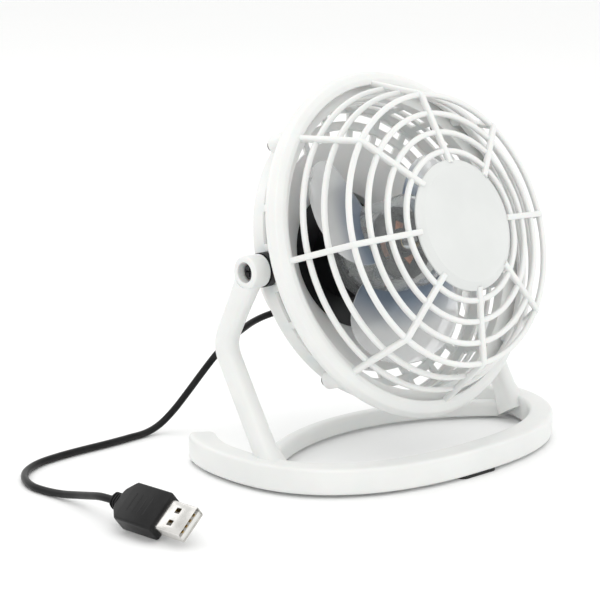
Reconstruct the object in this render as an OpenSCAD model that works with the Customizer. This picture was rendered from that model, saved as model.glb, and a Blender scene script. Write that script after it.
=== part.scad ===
// Small desk fan: a guarded fan head hung between the two legs of a moulded stand.
// The head frame has x across, y up and z forward along the fan's axis, with its
// origin where that axis crosses the tilt axis.

/* [Head] */
// Radius of the front rim
rim_r = 67.5; // [66:0.5:70]
// How far the front face of the rim stands ahead of the tilt axis
rim_front = 17.8; // [16:0.2:20]
// Outer radius of the rear guard's round wall
wall_r = 58.6; // [57:0.2:59]
// Wall thickness of the guards
wall_t = 1.6; // [1.2:0.1:2]
// Angle of the fan's axis above level, as it stands
rest_tilt = 20; // [0:1:30]

/* [Front guard] */
// Radius of the ring where the cage turns from its side to its face
bend_r = 51.5; // [49:0.5:54]
// How far that ring stands ahead of the tilt axis
bend_z = 40.6; // [36:0.2:44]
// Radius of the round cap in the middle of the cage
cap_r = 25; // [20:0.5:28]
// Front face of the cap, ahead of the tilt axis
cap_z = 48.6; // [46:0.2:52]
// Width of a guard bar
bar_w = 2.1; // [1.6:0.1:2.6]
// Number of spokes
spokes = 8; // [6:1:12]

/* [Blades] */
// Tip radius of the blades
tip_r = 49; // [46:0.5:53]
// Outer radius of the clear hub
hub_r = 18; // [17:0.5:19]
// Number of blades
blades = 3; // [2:1:3]
// Pitch of the blades
pitch = 20; // [12:1:26]

/* [Motor] */
// Outer radius of the motor can
can_r = 14; // [13.5:0.1:14.2]
// Radius of the motor shaft
shaft_r = 1.0; // [0.8:0.1:1.2]
// Outer radius of the black motor cup
cup_r = 27.3; // [26:0.1:28]

/* [Stand] */
// Height of the tilt axis
pivot_h = 78; // [77:0.5:90]
// Half the width of the base
base_a = 79; // [77:0.5:84]
// Half the depth that the base's oval would have
base_b = 56.4; // [55:0.2:60]
// Width of the base bar
base_w = 9.6; // [8:0.2:12]
// Height of the base's top face
base_h = 11.2; // [9:0.2:11.6]
// Distance from the middle plane to each leg's foot
leg_x = 68; // [67.5:0.1:69]
// Diameter of a leg
leg_d = 8.6; // [8:0.2:9]

/* [Cord] */
// Diameter of the cord
cord_d = 2.8; // [2.4:0.1:3.2]

/* [Hidden] */
axis_y = 5.12;                        // fan axis, back from the middle of the whole fan
bar_d = 2.0;                          // depth of a guard ring, front to back
face_rings = 4;                       // ring steps on the face of the cage
side_steps = [0.29, 0.61, 1];         // rings down the cage's side, as parts of its length
rim_inner = 62;                       // where the spokes meet the rim
flange_z = 13.2;                      // front face of the rear guard's flange
wall_top = 8.5;                       // front edge of the forward row of windows
wall_back = -6;                       // rear edge of the round wall
rear_ring = 51.3;                     // hoop between the round wall and the dish
ring_half = 1.7;
lip = 2.6;                            // how far the wall's rear lip turns in
dish_steps = [46.4, 42, 38, 34, 31, 28.6];
rear_ribs = 24;
cup_front = -20;
cup_back = -34;
cover_back = -40;
hub_front = 22;
hub_back = -8;
blade_z = 8;                          // middle of the blades along the axis
spacer_in = 58.9;
spacer_out = 62.1;
boss_in = 62.3;
boss_out = 70.2;
boss_r = 6.2;
pin_r = 1.5;
pin_gap = 0.06;
recess_floor = 3.2;                   // how far the screw's recess stops short of the boss's inner face
leg_knee_x = 69;
leg_top_x = 66.3;
knee = [12, 49.3];                    // y from the axis, z
foot = [-14, 7];                      // y from the axis, z
oval_n = 2.4;                         // squareness of the base's oval
tail_a = 26.5;                        // angle at which the tails end
pad_h = 1.2;                          // ground clearance that the pads give
pole_a = 67;                          // angle of the armature's first pole
exit_a = 12;                          // cord exit, below the rear end of the axis
gland_start = 40.9;                   // distances from the tilt axis, along the exit
gland_end = 51.2;
lead_end = 51.8;
lug_r = 63.4;                         // circle of the guard screws
lug_back = 3.8;
plug_at = [-136.8, -2.6, 8];          // rear end of the plug's collar
plug_turn = 5;                        // plug's heading, from straight ahead
plug_roll = 40;
cord_route = [
    [0, 49.8, 50.2], [0, 53.6, 47.8], [-1.2, 57.2, 45.6], [-4.2, 60, 44],
    [-9, 61.2, 42.8], [-14.6, 60.8, 41.7], [-20, 59.6, 40.5], [-26, 58.4, 38.7],
    [-31.8, 58, 35.8], [-36.8, 59.2, 31], [-41, 62.2, 24.2], [-45, 66, 16.4],
    [-50, 69, 9], [-56, 70.6, 3.8], [-63, 70.8, 1.6], [-72, 70, 1.5],
    [-84, 69.2, 1.5], [-96, 69, 1.5], [-108, 68.2, 1.5], [-119, 66, 1.5],
    [-128, 61, 1.5], [-134, 53.6, 1.5], [-137, 44.6, 1.5], [-136.4, 36.4, 1.5],
    [-135.4, 28.4, 2.2], [-135.2, 20.4, 3.8], [-136.2, 12.4, 5.8],
    [-137.2, 4.4, 7.7], [-136.8, -2.6, 8]
];

// ---- shared helpers ----

// Puts a shape from the head frame into the fan's own frame
module on_head() {
    translate([0, axis_y, pivot_h]) rotate([90 - rest_tilt, 0, 0]) children();
}

module around(count, first = 0) {
    for (i = [0 : count - 1]) rotate([0, 0, first + i * 360 / count]) children();
}

module ring(r_out, r_in, z_low, z_high) {
    translate([0, 0, z_low]) difference() {
        cylinder(r = r_out, h = z_high - z_low, $fn = 96);
        translate([0, 0, -1]) cylinder(r = r_in, h = z_high - z_low + 2, $fn = 96);
    }
}

// A round bar between two points, with its own radius at each end
module rod(p, q, r1, r2) {
    v = q - p;
    len = norm(v);
    translate(p) rotate([0, acos(v.z / len), atan2(v.y, v.x)])
        cylinder(r1 = r1, r2 = r2, h = len, $fn = 48);
}

// Both sides of the fan
module pair() {
    children();
    mirror([1, 0, 0]) children();
}

// A flat bar with the outline given as [radius, z] points, standing along +X
module rib(points, width) {
    translate([0, width / 2, 0]) rotate([90, 0, 0]) linear_extrude(width) polygon(points);
}

// ---- guards ----

function side_ring(t) = [rim_inner - 0.6 + t * (bend_r - rim_inner + 0.6),
    rim_front - 0.8 + t * (bend_z - rim_front + 0.8)];
function face_ring(i) = [bend_r - i * (bend_r - cap_r + 2) / face_rings,
    bend_z + i * (cap_z - 1.6 - bend_z) / face_rings];

module guard_ring(p) {
    ring(p[0] + bar_w / 2, p[0] - bar_w / 2, p[1] - bar_d, p[1]);
}

// The front guard is one moulding, drawn as its rim, its tapering side and its face
module front_rim() color("white") on_head() {
    rotate_extrude($fn = 128) polygon([
        [rim_r - 2, flange_z - 1.4], [rim_r - 0.5, flange_z - 1.4], [rim_r, flange_z],
        [rim_r, 14.2], [rim_r - 1.2, 16.6], [rim_r - 3.6, rim_front],
        [rim_inner - 0.4, rim_front], [rim_inner - 0.4, rim_front - 1.7],
        [rim_r - 4.2, rim_front - 2], [rim_r - 2, 13.6]]);
    // posts that take the guard screws
    around(4, 45) translate([lug_r, 0, flange_z + 0.1]) difference() {
        cylinder(r = 2.3, h = rim_front - flange_z - 1.1, $fn = 32);
        translate([0, 0, -1]) cylinder(r = 0.95, h = 3.8, $fn = 32);
    }
}

module front_cage() color("white") on_head() {
    for (t = side_steps) guard_ring(side_ring(t));
    around(spokes) rib([
        [rim_inner - 0.42, rim_front - 0.2], [rim_inner - 0.42, rim_front - 1.6],
        [rim_inner - 2.1, rim_front - 1.6], [bend_r - 0.8, bend_z - 1.7],
        [bend_r + 0.8, bend_z - 0.3]], bar_w);
}

module front_grille() color("white") on_head() {
    for (i = [1 : face_rings - 1]) guard_ring(face_ring(i));
    around(spokes) rib([
        [bend_r - 1.1, bend_z - 0.1], [bend_r - 1.1, bend_z - 1.9],
        [cap_r - 2, cap_z - 1.6 - bar_d - 0.3], [cap_r - 2, cap_z - 1.2]], bar_w);
    // cap, with its bevelled edge
    rotate_extrude($fn = 96) polygon([
        [0, cap_z - 3], [cap_r, cap_z - 3], [cap_r, cap_z - 2.2],
        [cap_r - 3.2, cap_z - 0.2], [0, cap_z]]);
}

// The rear guard is one moulding too, drawn as its round wall and its dished face
module rear_wall() color("white") on_head() difference() {
    union() {
        // round wall with two rows of windows, and the flange that the front rim covers
        rotate_extrude($fn = 96) polygon([
            [wall_r, wall_back], [wall_r, 0.4], [wall_r - wall_t, 0.4], [wall_r - wall_t, wall_back + 1.8],
            [wall_r - lip, wall_back + 1.8], [wall_r - lip, wall_back]]);
        ring(wall_r, wall_r - wall_t, 3.6, 5.4);
        rotate_extrude($fn = 96) polygon([
            [wall_r - wall_t, wall_top], [wall_r, wall_top], [wall_r, flange_z - 2],
            [rim_r - 2.4, flange_z - 2], [rim_r - 2.4, flange_z], [wall_r - wall_t, flange_z]]);
        around(rear_ribs, 7.5) translate([wall_r - wall_t - 0.25, -1.5, -1])
            cube([wall_t, 3, wall_top + 1.7]);
        // bosses that the tilt screws go into
        pair() translate([53, 0, 0]) rotate([0, 90, 0]) cylinder(r = 5.6, h = 5.7, $fn = 48);
        // ears behind the rim
        around(4, 45) translate([lug_r, 0, lug_back]) cylinder(r = 3.6, h = flange_z - 1.7 - lug_back, $fn = 40);
    }
    pair() translate([53.6, 0, 0]) rotate([0, 90, 0]) cylinder(r = pin_r, h = 8, $fn = 40);
    around(4, 45) translate([lug_r, 0, lug_back - 1])
        cylinder(r = 1.2, h = flange_z - lug_back + 2, $fn = 32);
}

module rear_dish() color("white") on_head() difference() {
    union() {
        ring(rear_ring + ring_half, rear_ring - ring_half, rear_z(rear_ring) - 0.35, rear_z(rear_ring) + 1.7);
        around(rear_ribs, 7.5) rib([
            [wall_r - lip - 0.05, wall_back + 0.35], [wall_r - lip - 0.05, wall_back + 1.9],
            [45.4, rear_z(45.4) + 1.5], [45.4, rear_z(45.4) + 0.3]], 2.6);
        rotate_extrude($fn = 96) polygon(concat(
            [for (r = dish_steps) [r, rear_z(r)]],
            [for (i = [len(dish_steps) - 1 : -1 : 0]) [dish_steps[i], rear_z(dish_steps[i]) + 1.8]]));
        // collar round the motor cup
        ring(30, cup_r + 0.2, -36, rear_z(30) + 3);
    }
    translate([0, 0, -37]) cylinder(r = cup_r + 1.6, h = 2.8, $fn = 96);
}

// Rear face of the guard at a radius: a shallow dish
function rear_z(r) = wall_back - 10.5 * pow((wall_r - r) / (wall_r - 29), 1.5);

module guard_screws() color("silver") on_head() around(4, 45) translate([lug_r, 0, lug_back - 0.1]) {
    translate([0, 0, -1.5]) difference() {
        cylinder(r = 2.1, h = 1.5, $fn = 32);
        translate([-1.4, -0.25, -0.1]) cube([2.8, 0.5, 0.8]);
        translate([-0.25, -1.4, -0.1]) cube([0.5, 2.8, 0.8]);
    }
    cylinder(r = 0.95, h = 11.2, $fn = 32);
}

// ---- motor housing ----

module motor_cup() color("black") on_head() difference() {
    union() {
        translate([0, 0, cup_back]) cylinder(r = cup_r, h = cup_front - cup_back, $fn = 96);
        translate([0, 0, cup_front - 0.5]) cylinder(r = can_r + 1.6, h = 14.5, $fn = 64);
        translate([0, 0, -36]) cylinder(r = cup_r + 1.4, h = 1.6, $fn = 96);
    }
    difference() {
        translate([0, 0, -37]) cylinder(r = cup_r - 1.5, h = cup_front + 35.5, $fn = 96);
        around(3, 90) translate([21.4, 0, -36]) cylinder(r = 2.6, h = 20, $fn = 32);
    }
    translate([0, 0, -16.4]) cylinder(r = can_r + 0.02, h = 12, $fn = 64);
    translate([0, 0, cup_front - 3]) cylinder(r = 8, h = 8, $fn = 48);
    around(3, 90) translate([21.4, 0, -37]) cylinder(r = 1.2, h = 8, $fn = 32);
}

module rear_cover() color("white") on_head() difference() {
    union() {
        translate([0, 0, cover_back]) cylinder(r = 27.4, h = 1.2, $fn = 96);
        translate([0, 0, cover_back + 1.2]) cylinder(r = 30, h = 2.6, $fn = 96);
    }
    translate([0, 0, cover_back + 1.6]) cylinder(r = 18, h = 4, $fn = 96);
    translate([-6.6, 4.6, cover_back - 1]) cube([13.2, 8.8, 8]);
    along_exit() translate([0, 0, 32]) cylinder(r = 2.95, h = 14, $fn = 40);
    around(3, 90) translate([21.4, 0, cover_back - 1]) cylinder(r = 1.3, h = 14, $fn = 32);
    around(3, 90) translate([21.4, 0, cover_back - 1]) cylinder(r = 2.3, h = 2.6, $fn = 32);
}

module cover_screws() color("silver") on_head() around(3, 90) translate([21.4, 0, cover_back + 0.3]) {
    difference() {
        cylinder(r = 2.1, h = 1.3, $fn = 32);
        translate([-1.4, -0.25, -0.1]) cube([2.8, 0.5, 0.7]);
        translate([-0.25, -1.4, -0.1]) cube([0.5, 2.8, 0.7]);
    }
    translate([0, 0, 1.3]) cylinder(r = 1.2, h = 7, $fn = 32);
}

// ---- motor ----

module motor_can() color("lightgray") on_head() ring(can_r, can_r - 0.8, -12, 12);

module motor_magnets() color("dimgray") on_head() intersection() {
    ring(can_r - 0.85, can_r - 3.6, -7, 8);
    union() {
        pair() translate([4, -20, -10]) cube([20, 40, 30]);
    }
}

// Front end of the motor, with three windows that show the windings
module motor_front_cap() color("black") on_head() difference() {
    union() {
        translate([0, 0, 12]) cylinder(r = can_r, h = 1.6, $fn = 64);
        translate([0, 0, 10.5]) cylinder(r = can_r - 0.85, h = 1.6, $fn = 64);
        translate([0, 0, 12]) cylinder(r = 4, h = 3.4, $fn = 40);
    }
    translate([0, 0, 9]) cylinder(r = 2.6, h = 8, $fn = 40);
    intersection() {
        ring(can_r - 2.4, 5.6, 9, 16);
        around(3, pole_a) translate([0, -4.2, 9]) cube([20, 8.4, 8]);
    }
}

module motor_rear_cap() color("black") on_head() difference() {
    union() {
        translate([0, 0, -14]) cylinder(r = can_r, h = 2, $fn = 64);
        translate([0, 0, -16]) cylinder(r = 4, h = 4, $fn = 40);
    }
    translate([0, 0, -17]) cylinder(r = 2.6, h = 8, $fn = 40);
}

module motor_bushings() color("goldenrod") on_head() {
    ring(2.6, shaft_r + 0.03, 10.5, 15.4);
    ring(2.6, shaft_r + 0.03, -16, -12);
}

module motor_brushes() color("darkgoldenrod") on_head() pair() {
    translate([3, -1, -11.9]) cube([4.5, 2, 2.4]);
    translate([6, -0.3, -19.5]) cube([0.6, 2.4, 7.6]);
}

module motor_shaft() color("silver") on_head()
    translate([0, 0, -15.8]) cylinder(r = shaft_r, h = 36.3, $fn = 32);

module armature_core() color("gray") on_head() difference() {
    union() {
        translate([0, 0, -5]) cylinder(r = 4, h = 11, $fn = 40);
        intersection() {
            translate([0, 0, -5]) cylinder(r = 9.9, h = 11, $fn = 64);
            union() {
                around(3, pole_a) translate([0, -1.6, -5]) cube([10, 3.2, 11]);
                difference() {
                    around(3, pole_a) translate([7.4, -5.4, -5]) cube([4, 10.8, 11]);
                    translate([0, 0, -6]) cylinder(r = 8, h = 13, $fn = 64);
                }
            }
        }
    }
    translate([0, 0, -6]) cylinder(r = shaft_r, h = 13, $fn = 32);
}

// Copper coil heads at both ends of each pole
module armature_windings() color("chocolate") on_head() around(3, pole_a) {
    translate([4.2, -3.2, 6]) cube([5.2, 6.4, 4.2]);
    translate([4.2, -3.2, -7.6]) cube([3.6, 6.4, 2.6]);
    translate([4.2, 1.6, -5]) cube([3.2, 1.6, 11]);
    translate([4.2, -3.2, -5]) cube([3.2, 1.6, 11]);
}

module commutator() color("peru") on_head() ring(2.9, shaft_r, -11.6, -8);

// ---- blades ----

function blade_half(t) = (16 + 17 * pow(t, 0.8)) * sqrt(1 - pow(t, 3));
blade_steps = [for (i = [0 : 18]) i / 18];
function blade_at(t) = hub_r - 1 + t * (tip_r - hub_r + 1);

module impeller() color("lightblue") on_head() {
    // cup-shaped hub that turns over the front of the motor
    rotate_extrude($fn = 96) polygon([
        [shaft_r, 16], [3, 16], [3, hub_front - 1.6], [hub_r - 2.6, hub_front - 1.6],
        [hub_r - 1.2, hub_front - 3], [hub_r - 1.2, hub_back], [hub_r, hub_back],
        [hub_r, hub_front - 2], [hub_r - 2, hub_front], [0, hub_front],
        [0, 20.5], [shaft_r, 20.5]]);
    around(blades, 27) translate([0, 0, blade_z]) rotate([pitch, 0, 0])
        linear_extrude(1.3, center = true) polygon(concat(
            [for (t = blade_steps) [blade_at(t), blade_half(t)]],
            [for (i = [17 : -1 : 0]) [blade_at(blade_steps[i]), -blade_half(blade_steps[i])]]));
}

// ---- switch ----

module switch_body() color("black") on_head() {
    difference() {
        union() {
            translate([-6.5, 4.7, cover_back]) cube([13, 8.6, 10]);
            translate([-7.6, 3.6, cover_back - 1.2]) cube([15.2, 10.8, 1.2]);
        }
        translate([-5.5, 5.4, cover_back - 2]) cube([11, 7.2, 6.4]);
    }
    translate([0, 5, cover_back + 1]) rotate([-90, 0, 0]) cylinder(r = 0.5, h = 8, $fn = 24);
}

// Rocker with its -X end standing out, as when the fan is off
module switch_rocker() color("black") on_head() difference() {
    translate([0, 12.3, cover_back + 1]) rotate([90, 0, 0]) linear_extrude(6.6) rotate(7) polygon([
        [-4.6, -2.6], [0, -1.9], [4.6, -2.6], [4.2, 0.6], [0, 1.8], [-4.2, 0.6]]);
    translate([0, 4, cover_back + 1]) rotate([-90, 0, 0]) cylinder(r = 0.56, h = 10, $fn = 24);
}

module switch_terminals() color("gold") on_head()
    for (x = [-4, 3.2]) translate([x, 7.6, cover_back + 10]) cube([0.8, 2.8, 4.5]);

// ---- leads and cord ----

module lead_wires() color("firebrick") on_head() {
    rod([0.9, -7.2, -34.6], [3.6, 8.6, -25.2], 0.55, 0.55);
    rod([-0.9, -7.2, -34.6], [-6.3, 0.9, -19.8], 0.55, 0.55);
    rod([-3.6, 8.6, -25.2], [6.3, 0.9, -19.8], 0.55, 0.55);
}

module along_exit() {
    rotate([-exit_a, 0, 0]) mirror([0, 0, 1]) children();
}

// Tapered sleeve that holds the cord where it leaves the rear cover
module strain_relief() color("black") on_head() along_exit() difference() {
    union() {
        translate([0, 0, 37]) cylinder(r = 2.9, h = 5, $fn = 40);
        translate([0, 0, gland_start + 0.2]) cylinder(r1 = 3.8, r2 = 3.4, h = 1.6, $fn = 40);
        translate([0, 0, gland_start + 1.7])
            cylinder(r1 = 3.2, r2 = 2.1, h = gland_end - gland_start - 1.7, $fn = 40);
    }
    translate([0, 0, 30]) cylinder(r = cord_d / 2, h = 30, $fn = 40);
}

module cord_lead() color("black") on_head() along_exit()
    translate([0, 0, 35]) cylinder(r = cord_d / 2, h = lead_end - 35, $fn = 40);

// A smooth curve through the route's points
function at(i) = cord_route[max(0, min(len(cord_route) - 1, i))];
function curve(i, t) = 0.5 * (2 * at(i) + t * (at(i + 1) - at(i - 1))
    + t * t * (2 * at(i - 1) - 5 * at(i) + 4 * at(i + 1) - at(i + 2))
    + t * t * t * (3 * at(i) - at(i - 1) - 3 * at(i + 1) + at(i + 2)));
cord_points = concat(
    [for (i = [0 : len(cord_route) - 2]) for (k = [0 : 1]) curve(i, k / 2)],
    [cord_route[len(cord_route) - 1]]);
cord_sides = 8;
function unit(v) = v / norm(v);
function heading(i) = unit(cord_points[min(i + 1, len(cord_points) - 1)] - cord_points[max(i - 1, 0)]);
function across(i) = unit(cross(heading(i), [0, 0, 1]));
function ring_point(i, a) = cord_points[i] + cord_d / 2
    * (across(i) * cos(a) + cross(across(i), heading(i)) * sin(a));

module cord() color("black") {
    n = len(cord_points);
    m = cord_sides;
    polyhedron(
        points = [for (i = [0 : n - 1]) for (j = [0 : m - 1]) ring_point(i, (j + 0.5) * 360 / m)],
        faces = concat(
            [[for (j = [0 : m - 1]) m - 1 - j]],
            [for (i = [0 : n - 2]) for (j = [0 : m - 1])
                [i * m + j, i * m + (j + 1) % m, (i + 1) * m + (j + 1) % m, (i + 1) * m + j]],
            [[for (j = [0 : m - 1]) (n - 1) * m + j]]));
}

// ---- plug ----

// The plug's own frame: +X along the plug, from the end of the cord to the mouth
module on_plug() {
    translate(plug_at) rotate([0, 0, plug_turn - 90]) rotate([plug_roll, 0, 0]) children();
}

module plug_body() color("black") on_plug() {
    translate([0, 0, 0]) rotate([0, 90, 0]) cylinder(r = 3, h = 5, $fn = 40);
    translate([4.4, 0, -3.8]) linear_extrude(7.6) polygon([
        [0, -3.4], [3.2, -7.8], [21, -7.8], [21, 7.8], [3.2, 7.8], [0, 3.4]]);
}

module plug_shell() color("silver") on_plug() translate([25.5, 0, 0]) difference() {
    translate([0, -6, -2.25]) cube([11.8, 12, 4.5]);
    translate([-1, -5.7, -1.95]) cube([14, 11.4, 3.9]);
    for (y = [-3.6, 1.4]) translate([4.2, y, -4]) cube([2.2, 2.2, 8]);
}

module plug_tongue() color("white") on_plug()
    translate([25.5, -5.6, -1.9]) cube([11, 11.2, 1.8]);

module plug_contacts() color("gold") on_plug()
    for (y = [-3.8, -1.5, 0.8, 3.1]) translate([26.5, y, -0.1]) cube([9.6, 1, 0.25]);

// ---- stand ----

function oval(a, b, phi) = [
    a * sign(cos(phi)) * pow(abs(cos(phi)), 2 / oval_n),
    b * sign(sin(phi)) * pow(abs(sin(phi)), 2 / oval_n)];
base_steps = [for (i = [0 : 60]) tail_a - i * (180 + 2 * tail_a) / 60];

module base_bar() {
    translate([0, axis_y - 0.8, pad_h]) linear_extrude(base_h - pad_h) {
        polygon(concat(
            [for (p = base_steps) oval(base_a, base_b, p)],
            [for (i = [60 : -1 : 0]) oval(base_a - base_w, base_b - base_w, base_steps[i])]));
        for (s = [-1, 1]) {
            tip = oval(base_a - base_w / 2, base_b - base_w / 2, tail_a);
            translate([s * tip.x, tip.y]) circle(r = base_w / 2 + 0.6, $fn = 48);
        }
    }
}

back_half = 62;
back_sag = 22;
back_r = (back_half * back_half + back_sag * back_sag) / (2 * back_sag);
module back_bar() {
    translate([0, axis_y + 17 - back_r, pad_h]) intersection() {
        ring(back_r + 3, back_r - 3, 0, 6.4);
        translate([-66, back_r - back_sag - 4, -1]) cube([132, 60, 20]);
    }
}

module stand_frame() color("white") difference() {
    union() {
        base_bar();
        back_bar();
        pair() {
            foot_p = [leg_x, axis_y + foot[0], foot[1]];
            knee_p = [leg_knee_x, axis_y + knee[0], knee[1]];
            hub_p = [leg_top_x, axis_y, pivot_h];
            rod(foot_p, knee_p, leg_d / 2, leg_d / 2);
            rod(foot_p - [0, 2, 3], foot_p + 0.3 * (knee_p - foot_p), 6.4, leg_d / 2);
            translate(knee_p) sphere(r = leg_d / 2 + 0.25, $fn = 48);
            rod(knee_p, hub_p, leg_d / 2, 3.8);
            translate([0, axis_y, pivot_h]) rotate([0, 90, 0]) rotate_extrude($fn = 64) polygon([
                [0, boss_in], [boss_r - 0.3, boss_in], [boss_r, boss_in + 0.3], [boss_r, boss_out - 2.4],
                [boss_r - 0.7, boss_out - 0.8], [boss_r - 1.9, boss_out], [0, boss_out]]);
        }
    }
    pair() translate([0, axis_y, pivot_h]) rotate([0, 90, 0]) {
        translate([0, 0, boss_in - 2]) cylinder(r = pin_r + pin_gap, h = 8, $fn = 48);
        translate([0, 0, boss_in + recess_floor]) cylinder(r = 3.7, h = 12, $fn = 48);
    }
    translate([-100, -100, -20]) cube([200, 200, 20 + pad_h]);
}

module foot_pads() color("black") {
    translate([0, axis_y - 0.8 - base_b + 3.9, 0]) {
        linear_extrude(pad_h) for (x = [-7, 7]) translate([x, 0]) circle(r = 3, $fn = 32);
        translate([-7, -2.95, 0]) cube([14, 5.9, pad_h]);
    }
    pair() {
        tip = oval(base_a - base_w / 2, base_b - base_w / 2, tail_a);
        translate([tip.x, axis_y - 0.8 + tip.y, 0]) cylinder(r = 4, h = pad_h, $fn = 32);
    }
}

module pivot_spacers() color("black") pair()
    translate([spacer_in, axis_y, pivot_h]) rotate([0, 90, 0]) difference() {
        cylinder(r = boss_r + 0.2, h = spacer_out - spacer_in, $fn = 64);
        translate([0, 0, -1]) cylinder(r = pin_r + pin_gap, h = 6, $fn = 48);
    }

module pivot_screws() color("black") pair() translate([0, axis_y, pivot_h]) rotate([0, 90, 0]) {
    translate([0, 0, 53.8]) cylinder(r = pin_r, h = boss_in + recess_floor + 0.2 - 53.8, $fn = 48);
    translate([0, 0, boss_in + recess_floor + 0.1]) difference() {
        cylinder(r = 2.9, h = 1.8, $fn = 40);
        translate([-2, -0.3, 1]) cube([4, 0.6, 1]);
        translate([-0.3, -2, 1]) cube([0.6, 4, 1]);
    }
}

stand_frame();
foot_pads();
pivot_spacers();
pivot_screws();
front_rim();
front_cage();
front_grille();
rear_wall();
rear_dish();
guard_screws();
motor_cup();
rear_cover();
cover_screws();
motor_can();
motor_magnets();
motor_front_cap();
motor_rear_cap();
motor_bushings();
motor_brushes();
impeller();
motor_shaft();
armature_core();
armature_windings();
commutator();
switch_body();
switch_rocker();
switch_terminals();
lead_wires();
strain_relief();
cord_lead();
cord();
plug_body();
plug_shell();
plug_tongue();
plug_contacts();
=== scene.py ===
import math

import bmesh
import bpy
from mathutils import Matrix, Vector


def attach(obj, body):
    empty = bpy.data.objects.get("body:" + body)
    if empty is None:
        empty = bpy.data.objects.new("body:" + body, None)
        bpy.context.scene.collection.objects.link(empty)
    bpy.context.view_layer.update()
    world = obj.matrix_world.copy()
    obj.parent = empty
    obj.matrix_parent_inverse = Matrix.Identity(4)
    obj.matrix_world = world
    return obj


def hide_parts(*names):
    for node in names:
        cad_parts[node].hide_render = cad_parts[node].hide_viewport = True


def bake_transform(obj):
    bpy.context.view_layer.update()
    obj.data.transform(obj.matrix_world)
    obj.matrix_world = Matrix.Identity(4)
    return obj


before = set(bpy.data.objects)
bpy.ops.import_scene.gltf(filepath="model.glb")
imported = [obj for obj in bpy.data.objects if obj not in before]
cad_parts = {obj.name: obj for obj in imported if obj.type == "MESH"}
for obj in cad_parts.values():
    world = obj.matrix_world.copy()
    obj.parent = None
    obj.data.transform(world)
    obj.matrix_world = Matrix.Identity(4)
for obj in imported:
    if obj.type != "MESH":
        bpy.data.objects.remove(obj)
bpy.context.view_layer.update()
print("frame loaded")

mm = 0.001
pivotHeight = 78
axisY = 5.12
pivotPoint = Vector((0, axisY, pivotHeight)) * mm
restTilt = math.radians(20)
# turns a shape drawn with z along the fan's axis into its place on the stand
headPlace = Matrix.Translation(pivotPoint) @ Matrix.Rotation(math.pi / 2 - restTilt, 4, "X")


# ---- camera, lights and floor ----

viewing = {"azimuth": -43.92, "elevation": 12.32, "roll": 0.82, "distance": 724.6,
           "across": -30.07, "up": -19.92, "lens": 111.71}


def placeCamera(v):
    a, e, roll = (math.radians(v[k]) for k in ("azimuth", "elevation", "roll"))
    back = Vector((math.sin(a) * math.cos(e), -math.cos(a) * math.cos(e), math.sin(e)))
    right = Vector((math.cos(a), math.sin(a), 0))
    up = back.cross(right)
    aim = pivotPoint + (right * v["across"] + up * v["up"]) * mm
    rolledRight = right * math.cos(roll) + up * math.sin(roll)
    rolledUp = up * math.cos(roll) - right * math.sin(roll)
    turn = Matrix((rolledRight, rolledUp, back)).transposed().to_4x4()
    data = bpy.data.cameras.new("camera")
    data.lens = v["lens"]
    data.sensor_width = 36
    data.clip_start = 0.01
    data.clip_end = 50
    camera = bpy.data.objects.new("camera", data)
    camera.matrix_world = Matrix.Translation(aim + back * v["distance"] * mm) @ turn
    bpy.context.collection.objects.link(camera)
    bpy.context.scene.camera = camera


placeCamera(viewing)

lamps = [
    {"name": "keyLight", "at": (-0.75, -0.95, 1.15), "size": 0.9, "power": 3.0, "tint": (1, 0.99, 0.97)},
    {"name": "fillLight", "at": (1.05, -0.85, 0.7), "size": 1.2, "power": 1.3, "tint": (0.97, 0.98, 1)},
    {"name": "topLight", "at": (0.0, 0.25, 1.5), "size": 1.3, "power": 3.2, "tint": (1, 1, 1)},
    {"name": "rimLight", "at": (-0.5, 1.15, 0.8), "size": 0.9, "power": 1.6, "tint": (1, 1, 1)},
]


def hangLamps():
    for lamp in lamps:
        data = bpy.data.lights.new(lamp["name"], "AREA")
        data.shape = "DISK"
        data.size = lamp["size"]
        data.energy = lamp["power"]
        data.color = lamp["tint"]
        light = bpy.data.objects.new(lamp["name"], data)
        light.location = lamp["at"]
        aim = Vector((0, 0, 0.07)) - Vector(lamp["at"])
        light.rotation_euler = aim.to_track_quat("-Z", "Y").to_euler()
        bpy.context.collection.objects.link(light)
    world = bpy.data.worlds.new("studio")
    bpy.context.scene.world = world
    world.use_nodes = True
    world.node_tree.nodes["Background"].inputs["Color"].default_value = (1, 1, 0.99, 1)
    world.node_tree.nodes["Background"].inputs["Strength"].default_value = 1.0


hangLamps()
bpy.context.scene.view_settings.view_transform = "Standard"
print("camera and lights placed")


# ---- finishes ----

def addNode(tree, kind, place=(0, 0), **values):
    made = tree.nodes.new(kind)
    made.location = place
    for key, value in values.items():
        setattr(made, key, value)
    return made


def groupSocket(tree, name, way, kind, start=None):
    made = tree.interface.new_socket(name=name, in_out=way, socket_type=kind)
    if start is not None:
        made.default_value = start
    return made


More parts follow.
